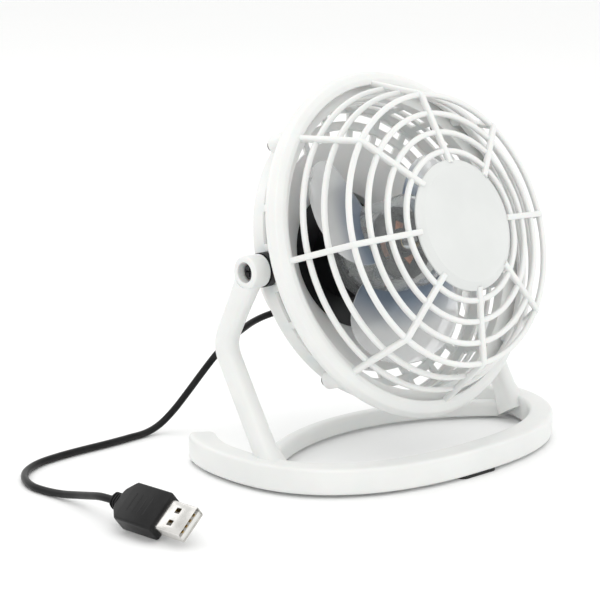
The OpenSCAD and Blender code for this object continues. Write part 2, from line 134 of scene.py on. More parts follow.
def mouldedSkinGroup():
    # slow mottling of the colour, with a fine grain that catches the light
    tree = bpy.data.node_groups.new("mouldedSkin", "ShaderNodeTree")
    groupSocket(tree, "Colour", "INPUT", "NodeSocketColor", (0.8, 0.8, 0.8, 1))
    groupSocket(tree, "Shade", "INPUT", "NodeSocketColor", (0.7, 0.7, 0.7, 1))
    groupSocket(tree, "Mottle", "INPUT", "NodeSocketFloat", 60)
    groupSocket(tree, "Grain", "INPUT", "NodeSocketFloat", 2200)
    groupSocket(tree, "Gloss Low", "INPUT", "NodeSocketFloat", 0.3)
    groupSocket(tree, "Gloss High", "INPUT", "NodeSocketFloat", 0.4)
    groupSocket(tree, "Colour", "OUTPUT", "NodeSocketColor")
    groupSocket(tree, "Roughness", "OUTPUT", "NodeSocketFloat")
    groupSocket(tree, "Height", "OUTPUT", "NodeSocketFloat")
    start = addNode(tree, "NodeGroupInput", (-900, 0))
    end = addNode(tree, "NodeGroupOutput", (500, 0))
    place = addNode(tree, "ShaderNodeTexCoord", (-900, -300))
    mottle = addNode(tree, "ShaderNodeTexNoise", (-650, 150))
    mottle.inputs["Detail"].default_value = 3
    grain = addNode(tree, "ShaderNodeTexNoise", (-650, -250))
    grain.inputs["Detail"].default_value = 2
    spread = addNode(tree, "ShaderNodeMapRange", (-400, 150))
    spread.inputs["From Min"].default_value = 0.35
    spread.inputs["From Max"].default_value = 0.65
    blend = addNode(tree, "ShaderNodeMix", (-100, 150), data_type="RGBA")
    gloss = addNode(tree, "ShaderNodeMapRange", (-100, -100))
    link = tree.links.new
    link(place.outputs["Object"], mottle.inputs["Vector"])
    link(place.outputs["Object"], grain.inputs["Vector"])
    link(start.outputs["Mottle"], mottle.inputs["Scale"])
    link(start.outputs["Grain"], grain.inputs["Scale"])
    link(mottle.outputs["Fac"], spread.inputs["Value"])
    link(spread.outputs["Result"], blend.inputs["Factor"])
    link(start.outputs["Colour"], blend.inputs["A"])
    link(start.outputs["Shade"], blend.inputs["B"])
    link(mottle.outputs["Fac"], gloss.inputs["Value"])
    link(start.outputs["Gloss Low"], gloss.inputs["To Min"])
    link(start.outputs["Gloss High"], gloss.inputs["To Max"])
    link(blend.outputs["Result"], end.inputs["Colour"])
    link(gloss.outputs["Result"], end.inputs["Roughness"])
    link(grain.outputs["Fac"], end.inputs["Height"])
    return tree


mouldedSkin = mouldedSkinGroup()


def moulded(name, colour, shade, gloss=(0.3, 0.4), mottle=60, grain=2200, bump=0.05, metal=0.0,
            coat=0.0, specular=0.5, passes=0.0):
    made = bpy.data.materials.new(name)
    made.use_nodes = True
    made.diffuse_color = (*colour, 1)
    tree = made.node_tree
    shader = tree.nodes["Principled BSDF"]
    shader.inputs["Metallic"].default_value = metal
    shader.inputs["Coat Weight"].default_value = coat
    shader.inputs["Coat Roughness"].default_value = 0.12
    shader.inputs["Specular IOR Level"].default_value = specular
    shader.inputs["Subsurface Weight"].default_value = passes
    shader.inputs["Subsurface Scale"].default_value = 0.002
    skin = addNode(tree, "ShaderNodeGroup", (-500, 0), node_tree=mouldedSkin)
    skin.inputs["Colour"].default_value = (*colour, 1)
    skin.inputs["Shade"].default_value = (*shade, 1)
    skin.inputs["Mottle"].default_value = mottle
    skin.inputs["Grain"].default_value = grain
    skin.inputs["Gloss Low"].default_value = gloss[0]
    skin.inputs["Gloss High"].default_value = gloss[1]
    relief = addNode(tree, "ShaderNodeBump", (-250, -200))
    relief.inputs["Strength"].default_value = bump
    relief.inputs["Distance"].default_value = 0.0002
    tree.links.new(skin.outputs["Colour"], shader.inputs["Base Color"])
    tree.links.new(skin.outputs["Roughness"], shader.inputs["Roughness"])
    tree.links.new(skin.outputs["Height"], relief.inputs["Height"])
    tree.links.new(relief.outputs["Normal"], shader.inputs["Normal"])
    return made


def clearMoulding(name, clear, tintShadeColour, passes):
    # clear styrene, tinted towards a blue-grey by its attribute, which carries painted shade on the blades
    # near the hub and an even light tint on the hub
    made = bpy.data.materials.new(name)
    made.use_nodes = True
    made.diffuse_color = (0.8, 0.86, 0.92, 0.35)
    tree = made.node_tree
    shader = tree.nodes["Principled BSDF"]
    shader.inputs["Transmission Weight"].default_value = passes
    shader.inputs["IOR"].default_value = 1.22
    shader.inputs["Specular IOR Level"].default_value = 0.7
    tintShadeAmount = addNode(tree, "ShaderNodeAttribute", (-900, 100), attribute_name="tintAndShade")
    tint = addNode(tree, "ShaderNodeValToRGB", (-650, 100))
    tint.color_ramp.elements[0].color = (*clear, 1)
    tint.color_ramp.elements[1].color = (*tintShadeColour, 1)
    place = addNode(tree, "ShaderNodeTexCoord", (-900, -200))
    ripple = addNode(tree, "ShaderNodeTexNoise", (-650, -200))
    ripple.inputs["Scale"].default_value = 140
    gloss = addNode(tree, "ShaderNodeMapRange", (-400, -100))
    gloss.inputs["To Min"].default_value = 0.03
    gloss.inputs["To Max"].default_value = 0.12
    relief = addNode(tree, "ShaderNodeBump", (-400, -350))
    relief.inputs["Strength"].default_value = 0.04
    relief.inputs["Distance"].default_value = 0.0003
    link = tree.links.new
    link(tintShadeAmount.outputs["Fac"], tint.inputs["Fac"])
    link(tint.outputs["Color"], shader.inputs["Base Color"])
    link(place.outputs["Object"], ripple.inputs["Vector"])
    link(ripple.outputs["Fac"], gloss.inputs["Value"])
    link(gloss.outputs["Result"], shader.inputs["Roughness"])
    link(ripple.outputs["Fac"], relief.inputs["Height"])
    link(relief.outputs["Normal"], shader.inputs["Normal"])
    return made


def floorFinish():
    made = bpy.data.materials.new("paleFloor")
    made.use_nodes = True
    tree = made.node_tree
    shader = tree.nodes["Principled BSDF"]
    shader.inputs["Roughness"].default_value = 0.55
    shader.inputs["Specular IOR Level"].default_value = 0.15
    place = addNode(tree, "ShaderNodeTexCoord", (-900, 0))
    cloud = addNode(tree, "ShaderNodeTexNoise", (-650, 0))
    cloud.inputs["Scale"].default_value = 1.5
    tint = addNode(tree, "ShaderNodeMix", (-300, 0), data_type="RGBA")
    tint.inputs["A"].default_value = (0.95, 0.955, 0.96, 1)
    tint.inputs["B"].default_value = (0.97, 0.97, 0.97, 1)
    tree.links.new(place.outputs["Object"], cloud.inputs["Vector"])
    tree.links.new(cloud.outputs["Fac"], tint.inputs["Factor"])
    tree.links.new(tint.outputs["Result"], shader.inputs["Base Color"])
    return made


whitePlastic = moulded("whitePlastic", (0.8, 0.808, 0.795), (0.765, 0.775, 0.765), gloss=(0.26, 0.36),
                       mottle=45, grain=2600, bump=0.04, coat=0.12, passes=0.08)
# the white cap is made a little greyer than the white plastic: painted shade for the grey across its face
capSatin = moulded("capSatin", (0.7, 0.715, 0.705), (0.66, 0.675, 0.665), gloss=(0.34, 0.44),
                   mottle=40, grain=2600, bump=0.04, coat=0.06)
blackPlastic = moulded("blackPlastic", (0.008, 0.008, 0.009), (0.014, 0.014, 0.015), gloss=(0.32, 0.45),
                       mottle=90, grain=3000, bump=0.12, specular=0.3)
pivotBlack = moulded("pivotBlack", (0.01, 0.01, 0.011), (0.018, 0.018, 0.019), gloss=(0.4, 0.55), bump=0.1,
                     specular=0.25)
padRubber = moulded("padRubber", (0.012, 0.012, 0.012), (0.022, 0.022, 0.022), gloss=(0.7, 0.85),
                    mottle=300, grain=1800, bump=0.3)
cordSheath = moulded("cordSheath", (0.007, 0.007, 0.0075), (0.012, 0.012, 0.0125), gloss=(0.26, 0.36),
                     mottle=200, grain=2400, bump=0.08, specular=0.18)
plugBlack = moulded("plugBlack", (0.009, 0.009, 0.0095), (0.015, 0.015, 0.0155), gloss=(0.3, 0.42),
                    mottle=160, grain=2600, bump=0.14, specular=0.2)
screwSteel = moulded("screwSteel", (0.42, 0.42, 0.43), (0.33, 0.33, 0.34), gloss=(0.25, 0.42),
                     mottle=800, grain=4000, bump=0.1, metal=1)
screwDark = moulded("screwDark", (0.05, 0.05, 0.052), (0.03, 0.03, 0.032), gloss=(0.3, 0.45),
                    mottle=800, grain=4000, bump=0.1, metal=0.8)
canSteel = moulded("canSteel", (0.66, 0.66, 0.65), (0.52, 0.52, 0.51), gloss=(0.2, 0.34),
                   mottle=300, grain=2600, bump=0.08, metal=1)
magnetGrey = moulded("magnetGrey", (0.05, 0.05, 0.052), (0.08, 0.08, 0.08), gloss=(0.6, 0.75), mottle=400)
copperWire = moulded("copperWire", (0.86, 0.36, 0.18), (0.7, 0.25, 0.12), gloss=(0.3, 0.45),
                     mottle=900, grain=2600, bump=0.2, metal=0.6)
brassBright = moulded("brassBright", (0.78, 0.56, 0.22), (0.62, 0.42, 0.15), gloss=(0.22, 0.4),
                      mottle=600, metal=1)
redInsulation = moulded("redInsulation", (0.45, 0.02, 0.015), (0.36, 0.015, 0.012), gloss=(0.3, 0.4))
shellChrome = moulded("shellChrome", (0.72, 0.71, 0.69), (0.6, 0.59, 0.57), gloss=(0.14, 0.3),
                      mottle=260, grain=3200, bump=0.05, metal=1)
tongueWhite = moulded("tongueWhite", (0.8, 0.8, 0.78), (0.72, 0.72, 0.7), gloss=(0.35, 0.45))
hubClear = clearMoulding("hubClear", (0.94, 0.95, 0.945), (0.78, 0.82, 0.86), 0.88)
# the blades' blue-grey is painted shade near the hub
bladeClear = clearMoulding("bladeClear", (0.95, 0.955, 0.96), (0.33, 0.4, 0.5), 0.55)


def layFloor():
    mesh = bpy.data.meshes.new("floor")
    mesh.from_pydata([(-9, -9, 0), (9, -9, 0), (9, 9, 0), (-9, 9, 0)], [], [(0, 1, 2, 3)])
    mesh.materials.append(floorFinish())
    floor = bpy.data.objects.new("floor", mesh)
    bpy.context.collection.objects.link(floor)


layFloor()
print("finishes made")


# ---- shaping helpers ----

def finishPiece(piece, finish, smoothUnder=38):
    mesh = piece.data
    work = bmesh.new()
    work.from_mesh(mesh)
    bmesh.ops.remove_doubles(work, verts=work.verts, dist=1e-7)
    bmesh.ops.recalc_face_normals(work, faces=work.faces)
    work.to_mesh(mesh)
    work.free()
    if finish:
        mesh.materials.clear()
        mesh.materials.append(finish)
    mesh.shade_smooth()
    mesh.set_sharp_from_angle(angle=math.radians(smoothUnder))
    return piece


def solid(name, points, faces, finish, place=None, smoothUnder=38):
    mesh = bpy.data.meshes.new(name)
    mesh.from_pydata([tuple(Vector(p) * mm) for p in points], [], faces)
    if place:
        mesh.transform(place)
    piece = bpy.data.objects.new(name, mesh)
    bpy.context.collection.objects.link(piece)
    return finishPiece(piece, finish, smoothUnder)


def rounded(corners, radius, steps=4):
    # replaces each corner of a closed outline by a small arc; radius is one number or one per corner
    out = []
    count = len(corners)
    for i, here in enumerate(corners):
        r = radius[i] if isinstance(radius, (list, tuple)) else radius
        c = Vector(here)
        a = Vector(corners[i - 1]) - c
        b = Vector(corners[(i + 1) % count]) - c
        if r <= 0:
            out.append(tuple(c))
            continue
        half = a.angle(b) / 2
        reach = min(r / math.tan(half), a.length * 0.48, b.length * 0.48)
        p, q = c + a.normalized() * reach, c + b.normalized() * reach
        for k in range(steps + 1):
            t = k / steps
            out.append(tuple(p * (1 - t) ** 2 + c * 2 * t * (1 - t) + q * t * t))
    return out


def lathe(name, outline, finish, place=headPlace, turns=120, smoothUnder=38):
    # turns an outline of (radius, height) pairs about the z axis
    points, rows, faces = [], [], []
    for r, z in outline:
        if r < 1e-5:
            rows.append([len(points)] * turns)
            points.append((0, 0, z))
        else:
            rows.append(list(range(len(points), len(points) + turns)))
            points += [(r * math.cos(2 * math.pi * k / turns), r * math.sin(2 * math.pi * k / turns), z)
                       for k in range(turns)]
    for i in range(len(rows)):
        low, high = rows[i], rows[(i + 1) % len(rows)]
        if low[0] == low[1] and high[0] == high[1]:
            continue
        for k in range(turns):
            n = (k + 1) % turns
            face = []
            for v in (low[k], low[n], high[n], high[k]):
                if v not in face:
                    face.append(v)
            faces.append(face)
    return solid(name, points, faces, finish, place, smoothUnder)


def loft(name, sections, finish, place=None, smoothUnder=38):
    # skins a list of closed sections that all have the same number of points, and closes its ends
    points = [p for section in sections for p in section]
    n = len(sections[0])
    faces = [(i * n + j, i * n + (j + 1) % n, (i + 1) * n + (j + 1) % n, (i + 1) * n + j)
             for i in range(len(sections) - 1) for j in range(n)]
    faces.append(tuple(range(n)))
    faces.append(tuple(len(points) - 1 - j for j in range(n)))
    return solid(name, points, faces, finish, place, smoothUnder)


def smoothLine(route, steps):
    # the curve that the part's source draws through a route's points
    def at(i):
        return Vector(route[max(0, min(len(route) - 1, i))])
    line = []
    for i in range(len(route) - 1):
        for k in range(steps):
            t = k / steps
            line.append(0.5 * (2 * at(i) + t * (at(i + 1) - at(i - 1))
                               + t * t * (2 * at(i - 1) - 5 * at(i) + 4 * at(i + 1) - at(i + 2))
                               + t * t * t * (3 * at(i) - at(i - 1) - 3 * at(i + 1) + at(i + 2))))
    line.append(at(len(route) - 1))
    return line


def tube(name, line, radii, finish, sides=20):
    # a round tube along a line of points, carried without twist from ring to ring
    sections = []
    across = None
    for i, p in enumerate(line):
        ahead = (line[min(i + 1, len(line) - 1)] - line[max(i - 1, 0)]).normalized()
        if across is None:
            across = ahead.cross(Vector((0, 0, 1))).normalized()
        across = (across - ahead * across.dot(ahead)).normalized()
        other = ahead.cross(across)
        r = radii[i] if isinstance(radii, list) else radii
        sections.append([p + (across * math.cos(2 * math.pi * k / sides)
                              + other * math.sin(2 * math.pi * k / sides)) * r for k in range(sides)])
    return loft(name, sections, finish, smoothUnder=60)


def nodeTree(name):
    tree = bpy.data.node_groups.new(name, "GeometryNodeTree")
    groupSocket(tree, "Geometry", "INPUT", "NodeSocketGeometry")
    groupSocket(tree, "Geometry", "OUTPUT", "NodeSocketGeometry")
    return tree


def barProfile(tree, start, x, y):
    # the rounded oblong section of a guard bar
    outline = addNode(tree, "GeometryNodeCurvePrimitiveQuadrilateral", (x, y))
    soften = addNode(tree, "GeometryNodeFilletCurve", (x + 200, y), mode="POLY")
    soften.inputs["Count"].default_value = 3
    soften.inputs["Limit Radius"].default_value = True
    link = tree.links.new
    link(start.outputs["Bar Width"], outline.inputs["Width"])
    link(start.outputs["Bar Depth"], outline.inputs["Height"])
    link(outline.outputs["Curve"], soften.inputs["Curve"])
    link(start.outputs["Corner"], soften.inputs["Radius"])
    return soften.outputs["Curve"]


def finishTree(tree, start, end, result, x):
    real = addNode(tree, "GeometryNodeRealizeInstances", (x, 0))
    dress = addNode(tree, "GeometryNodeSetMaterial", (x + 200, 0))
    link = tree.links.new
    link(result, real.inputs["Geometry"])
    link(real.outputs["Geometry"], dress.inputs["Geometry"])
    link(start.outputs["Finish"], dress.inputs["Material"])
    link(dress.outputs["Geometry"], end.inputs["Geometry"])


def evenSteps(tree, start, x, y):
    # 0 at the first copy and 1 at the last
    index = addNode(tree, "GeometryNodeInputIndex", (x, y))
    fewer = addNode(tree, "ShaderNodeMath", (x, y - 120), operation="SUBTRACT")
    fewer.inputs[1].default_value = 1
    share = addNode(tree, "ShaderNodeMath", (x + 200, y), operation="DIVIDE")
    tree.links.new(start.outputs["Count"], fewer.inputs[0])
    tree.links.new(index.outputs["Index"], share.inputs[0])
    tree.links.new(fewer.outputs["Value"], share.inputs[1])
    return share.outputs["Value"]


def hoopsTree():
    # a row of hoops on one axis, stepping evenly in radius and height
    tree = nodeTree("guardHoops")
    for name, value in (("First Radius", 0.05), ("Last Radius", 0.03), ("First Height", 0.0),
                        ("Last Height", 0.0), ("Bar Width", 0.002), ("Bar Depth", 0.002),
                        ("Corner", 0.0006)):
        groupSocket(tree, name, "INPUT", "NodeSocketFloat", value)
    groupSocket(tree, "Count", "INPUT", "NodeSocketInt", 3)
    groupSocket(tree, "Finish", "INPUT", "NodeSocketMaterial")
    start = addNode(tree, "NodeGroupInput", (-1200, 0))
    end = addNode(tree, "NodeGroupOutput", (1400, 0))
    share = evenSteps(tree, start, -1000, -300)
    radius = addNode(tree, "ShaderNodeMix", (-600, -200), data_type="FLOAT", clamp_factor=False)
    height = addNode(tree, "ShaderNodeMix", (-600, -400), data_type="FLOAT", clamp_factor=False)
    spot = addNode(tree, "ShaderNodeCombineXYZ", (-400, -400))
    spread = addNode(tree, "ShaderNodeCombineXYZ", (-400, -200))
    spread.inputs["Z"].default_value = 1
    stations = addNode(tree, "GeometryNodePoints", (-200, 100))
    hoop = addNode(tree, "GeometryNodeCurvePrimitiveCircle", (-200, -100))
    hoop.inputs["Resolution"].default_value = 120
    hoop.inputs["Radius"].default_value = 1
    copies = addNode(tree, "GeometryNodeInstanceOnPoints", (100, 0))
    flat = addNode(tree, "GeometryNodeRealizeInstances", (300, 0))
    upright = addNode(tree, "GeometryNodeSetCurveNormal", (500, 0), mode="Z_UP")
    skin = addNode(tree, "GeometryNodeCurveToMesh", (700, 0))
    link = tree.links.new
    for mixer, low, high in ((radius, "First Radius", "Last Radius"),
                             (height, "First Height", "Last Height")):
        link(share, mixer.inputs["Factor"])
        link(start.outputs[low], mixer.inputs["A"])
        link(start.outputs[high], mixer.inputs["B"])
    link(height.outputs["Result"], spot.inputs["Z"])
    link(radius.outputs["Result"], spread.inputs["X"])
    link(radius.outputs["Result"], spread.inputs["Y"])
    link(start.outputs["Count"], stations.inputs["Count"])
    link(spot.outputs["Vector"], stations.inputs["Position"])
    link(stations.outputs["Points"], copies.inputs["Points"])
    link(hoop.outputs["Curve"], copies.inputs["Instance"])
    link(spread.outputs["Vector"], copies.inputs["Scale"])
    link(copies.outputs["Instances"], flat.inputs["Geometry"])
    link(flat.outputs["Geometry"], upright.inputs["Curve"])
    link(upright.outputs["Curve"], skin.inputs["Curve"])
    link(barProfile(tree, start, 300, -300), skin.inputs["Profile Curve"])
    finishTree(tree, start, end, skin.outputs["Mesh"], 900)
    return tree


def spinCopies(tree, start, shape, x):
    # copies a shape evenly about the z axis
    index = addNode(tree, "GeometryNodeInputIndex", (x - 600, -500))
    step = addNode(tree, "ShaderNodeMath", (x - 600, -650), operation="DIVIDE")
    step.inputs[0].default_value = 2 * math.pi
    turned = addNode(tree, "ShaderNodeMath", (x - 400, -500), operation="MULTIPLY_ADD")
    angle = addNode(tree, "ShaderNodeCombineXYZ", (x - 200, -500))
    stations = addNode(tree, "GeometryNodePoints", (x - 200, -300))
    copies = addNode(tree, "GeometryNodeInstanceOnPoints", (x, 0))
    link = tree.links.new
    link(start.outputs["Count"], step.inputs[1])
    link(index.outputs["Index"], turned.inputs[0])
    link(step.outputs["Value"], turned.inputs[1])
    link(start.outputs["First Angle"], turned.inputs[2])
    link(turned.outputs["Value"], angle.inputs["Z"])
    link(start.outputs["Count"], stations.inputs["Count"])
    link(stations.outputs["Points"], copies.inputs["Points"])
    link(angle.outputs["Vector"], copies.inputs["Rotation"])
    link(shape, copies.inputs["Instance"])
    return copies.outputs["Instances"]


def spokesTree():
    # a bar that follows the drawn line, repeated about the axis
    tree = nodeTree("guardSpokes")
    for name, value in (("Bar Width", 0.002), ("Bar Depth", 0.002), ("Corner", 0.0006),
                        ("Bend", 0.003), ("First Angle", 0.0)):
        groupSocket(tree, name, "INPUT", "NodeSocketFloat", value)
    groupSocket(tree, "Count", "INPUT", "NodeSocketInt", 8)
    groupSocket(tree, "Finish", "INPUT", "NodeSocketMaterial")
    start = addNode(tree, "NodeGroupInput", (-1200, 0))
    end = addNode(tree, "NodeGroupOutput", (1400, 0))
    line = addNode(tree, "GeometryNodeMeshToCurve", (-1000, 100))
    bend = addNode(tree, "GeometryNodeFilletCurve", (-800, 100), mode="POLY")
    bend.inputs["Count"].default_value = 5
    bend.inputs["Limit Radius"].default_value = True
    sideways = addNode(tree, "GeometryNodeSetCurveNormal", (-600, 100), mode="FREE")
    sideways.inputs["Normal"].default_value = (0, 1, 0)
    skin = addNode(tree, "GeometryNodeCurveToMesh", (-200, 100))
    skin.inputs["Fill Caps"].default_value = True
    link = tree.links.new
    link(start.outputs["Geometry"], line.inputs["Mesh"])
    link(line.outputs["Curve"], bend.inputs["Curve"])
    link(start.outputs["Bend"], bend.inputs["Radius"])
    link(bend.outputs["Curve"], sideways.inputs["Curve"])
    link(sideways.outputs["Curve"], skin.inputs["Curve"])
    link(barProfile(tree, start, -700, -300), skin.inputs["Profile Curve"])
    finishTree(tree, start, end, spinCopies(tree, start, skin.outputs["Mesh"], 400), 900)
    return tree


def spinTree():
    # a finished shape repeated about the axis
    tree = nodeTree("spunCopies")
    groupSocket(tree, "First Angle", "INPUT", "NodeSocketFloat", 0.0)
    groupSocket(tree, "Count", "INPUT", "NodeSocketInt", 4)
    groupSocket(tree, "Finish", "INPUT", "NodeSocketMaterial")
    start = addNode(tree, "NodeGroupInput", (-1200, 0))
    end = addNode(tree, "NodeGroupOutput", (1400, 0))
    finishTree(tree, start, end, spinCopies(tree, start, start.outputs["Geometry"], 400), 900)
    return tree


hoops, spokes, spun = hoopsTree(), spokesTree(), spinTree()


def grow(name, tree, values, line=None, seed=None, place=headPlace, smoothUnder=50):
    # runs a node tree on a drawn line or a seed piece, and keeps the result as a plain mesh
    if seed:
        base = seed
        base.name = name + "Seed"
    else:
        mesh = bpy.data.meshes.new(name + "Line")
        drawn = line or [(0, 0), (1, 0)]
        mesh.from_pydata([(r * mm, 0, z * mm) for r, z in drawn],
                         [(i, i + 1) for i in range(len(drawn) - 1)], [])
        base = bpy.data.objects.new(name + "Line", mesh)
        bpy.context.collection.objects.link(base)
    modifier = base.modifiers.new("shape", "NODES")
    modifier.node_group = tree
    for item in tree.interface.items_tree:
        if item.in_out == "INPUT" and item.name in values:
            modifier[item.identifier] = values[item.name]
    bpy.context.view_layer.update()
    grown = bpy.data.meshes.new_from_object(base.evaluated_get(bpy.context.evaluated_depsgraph_get()))
    grown.name = name
    bpy.data.objects.remove(base)
    if place:
        grown.transform(place)
    piece = bpy.data.objects.new(name, grown)
    bpy.context.collection.objects.link(piece)
    return finishPiece(piece, None, smoothUnder)


def cutAway(piece, cutters, smoothUnder, ownSelf=False):
    # takes the cutters' shapes out of a piece
    cutter = joined("cutter", cutters)
    cut = piece.modifiers.new("cut", "BOOLEAN")
    cut.object = cutter
    cut.operation = "DIFFERENCE"
    cut.solver = "EXACT"
    cut.use_self = ownSelf
    bpy.context.view_layer.update()
    opened = bpy.data.meshes.new_from_object(piece.evaluated_get(bpy.context.evaluated_depsgraph_get()))
    piece.modifiers.clear()
    piece.data = opened
    bpy.data.objects.remove(cutter)
    opened.shade_smooth()
    opened.set_sharp_from_angle(angle=math.radians(smoothUnder))


def joined(name, pieces):
    # makes one piece of several
    with bpy.context.temp_override(active_object=pieces[0], selected_objects=pieces,
                                   selected_editable_objects=pieces):
        bpy.ops.object.join()
    pieces[0].name = name
    pieces[0].data.name = name
    return pieces[0]


# ---- cord and plug ----

cordRoute = [
    (0, 49.8, 50.2), (0, 53.6, 47.8), (-1.2, 57.2, 45.6), (-4.2, 60, 44),
    (-9, 61.2, 42.8), (-14.6, 60.8, 41.7), (-20, 59.6, 40.5), (-26, 58.4, 38.7),
    (-31.8, 58, 35.8), (-36.8, 59.2, 31), (-41, 62.2, 24.2), (-45, 66, 16.4),
    (-50, 69, 9), (-56, 70.6, 3.8), (-63, 70.8, 1.6), (-72, 70, 1.5),
    (-84, 69.2, 1.5), (-96, 69, 1.5), (-108, 68.2, 1.5), (-119, 66, 1.5),
    (-128, 61, 1.5), (-134, 53.6, 1.5), (-137, 44.6, 1.5), (-136.4, 36.4, 1.5),
    (-135.4, 28.4, 2.2), (-135.2, 20.4, 3.8), (-136.2, 12.4, 5.8),
    (-137.2, 4.4, 7.7), (-136.8, -2.6, 8)]
cordSize = {"diameter": 2.8, "exitAngle": 32, "exitFrom": 42, "steps": 6}


def makeCord():
    angle = math.radians(cordSize["exitAngle"])
    out = Vector((0, math.cos(angle), -math.sin(angle)))
    inside = pivotPoint / mm + out * cordSize["exitFrom"]
    line = [inside, inside + out * 5] + smoothLine(cordRoute, cordSize["steps"])
    cord = tube("cordTube", line, cordSize["diameter"] / 2, cordSheath)
    length = sum((b - a).length for a, b in zip(line, line[1:])) * mm
    print("cord length", round(length, 4))
    return cord, [p * mm for p in line], length, inside * mm


cordTube, cordLine, cordLength, cordExit = makeCord()

plugSize = {"halfWidth": 7.75, "halfHeight": 3.75, "shellStart": 25.4, "shellLength": 11.8,
            "heading": -85, "roll": 40}
plugPlace = (Matrix.Translation(Vector(cordRoute[-1]) * mm)
             @ Matrix.Rotation(math.radians(plugSize["heading"]), 4, "Z")
             @ Matrix.Rotation(math.radians(plugSize["roll"]), 4, "X"))


def oblong(x, halfWidth, halfHeight, corner, steps=4):
    outline = rounded([(-halfWidth, -halfHeight), (halfWidth, -halfHeight),
                       (halfWidth, halfHeight), (-halfWidth, halfHeight)], corner, steps)
    return [(x, y, z) for y, z in outline]


def makePlug(v):
    w, h = v["halfWidth"], v["halfHeight"]
    grip = loft("plugGrip", [oblong(*s) for s in (
        (0.1, 1.55, 1.55, 1.5), (0.1, 2.0, 2.0, 1.9), (0.5, 2.5, 2.5, 2.3), (4.2, 2.9, 2.8, 2.5),
        (4.6, 3.7, 3.1, 1.6), (5.4, 4.6, 3.5, 1.3), (8.0, w - 0.35, h - 0.1, 1.1),
        (8.7, w, h, 1.0), (24.5, w, h, 1.0), (25.2, w - 0.3, h - 0.3, 0.8),
        (25.4, w - 0.8, h - 0.8, 0.6))], plugBlack, plugPlace, smoothUnder=34)
    rings = []
    for x in (1.4, 2.6, 3.8):  # ribs round the collar
        steps = ((-0.35, 2.6, 2.6, 2.4), (-0.2, 3.0, 2.95, 2.6), (0.2, 3.0, 2.95, 2.6), (0.35, 2.6, 2.6, 2.4))
        rings.append(loft("collarRib", [oblong(x + u, *size) for u, *size in steps], plugBlack, plugPlace))
    bars = []
    section = ((-0.45, 0), (-0.25, 0.2), (0.25, 0.2), (0.45, 0))
    for side in (-1, 1):  # raised grip bars across both flat faces
        for k in range(4):
            x = 11.5 + k * 2.6
            ends = [[(x + u, y, side * (h - 0.12 + t)) for u, t in section] for y in (-3.6, 3.6)]
            bars.append(loft("gripBar", ends, plugBlack, plugPlace))
    return joined("plugGrip", [grip] + rings + bars)


plugGrip = makePlug(plugSize)


def makePlugShell(v):
    # thin folded steel, open at the mouth, with a pair of square latch holes on each face
    start, end = v["shellStart"], v["shellStart"] + v["shellLength"]
    outer, inner = (5.98, 2.23, 0.7), (5.7, 1.95, 0.45)
    sections = [oblong(start, *outer), oblong(end - 0.25, *outer), oblong(end, 5.84, 2.09, 0.6),
                oblong(end - 0.25, *inner), oblong(start + 0.4, *inner)]
    shell = loft("plugShell", sections, shellChrome, plugPlace, smoothUnder=30)
    cutters = []
    for y in (-3.6, 1.4):
        for face in (-1, 1):
            z = face * 2.2
            box = [[(x, y + u, z + t) for u, t in ((0, -0.8), (2.2, -0.8), (2.2, 0.8), (0, 0.8))]
                   for x in (start + 4.2, start + 6.4)]
            cutters.append(loft("latchCut", box, shellChrome, plugPlace))
    cutAway(shell, cutters, 30)
    # seam where the folded edges meet, on the underside
    section = ((-0.12, 0), (0.12, 0), (0.12, 0.06), (-0.12, 0.06))
    seam = loft("shellSeam", [[(x, y, -2.26 + t) for y, t in section] for x in (start + 0.2, end - 0.3)],
                screwDark, plugPlace)
    return joined("plugShell", [shell, seam])


plugShell = makePlugShell(plugSize)
print("cord and plug made")


# ---- stand ----

padHeight = 1.2
baseShape = {"halfWidth": 79, "halfDepth": 56.4, "square": 2.4, "bar": 9.6, "top": 11.2, "edge": 1.7,
             "under": 1.6, "tail": 26.5, "centre": 4.32, "steps": 110, "swell": 0.5, "swellReach": 16,
             "capRows": 7, "capDrop": 2.2, "capRise": 0.8}


def oval(a, b, degrees, power):
    c, s = math.cos(math.radians(degrees)), math.sin(math.radians(degrees))
    return (a * math.copysign(abs(c) ** (2 / power), c), b * math.copysign(abs(s) ** (2 / power), s))


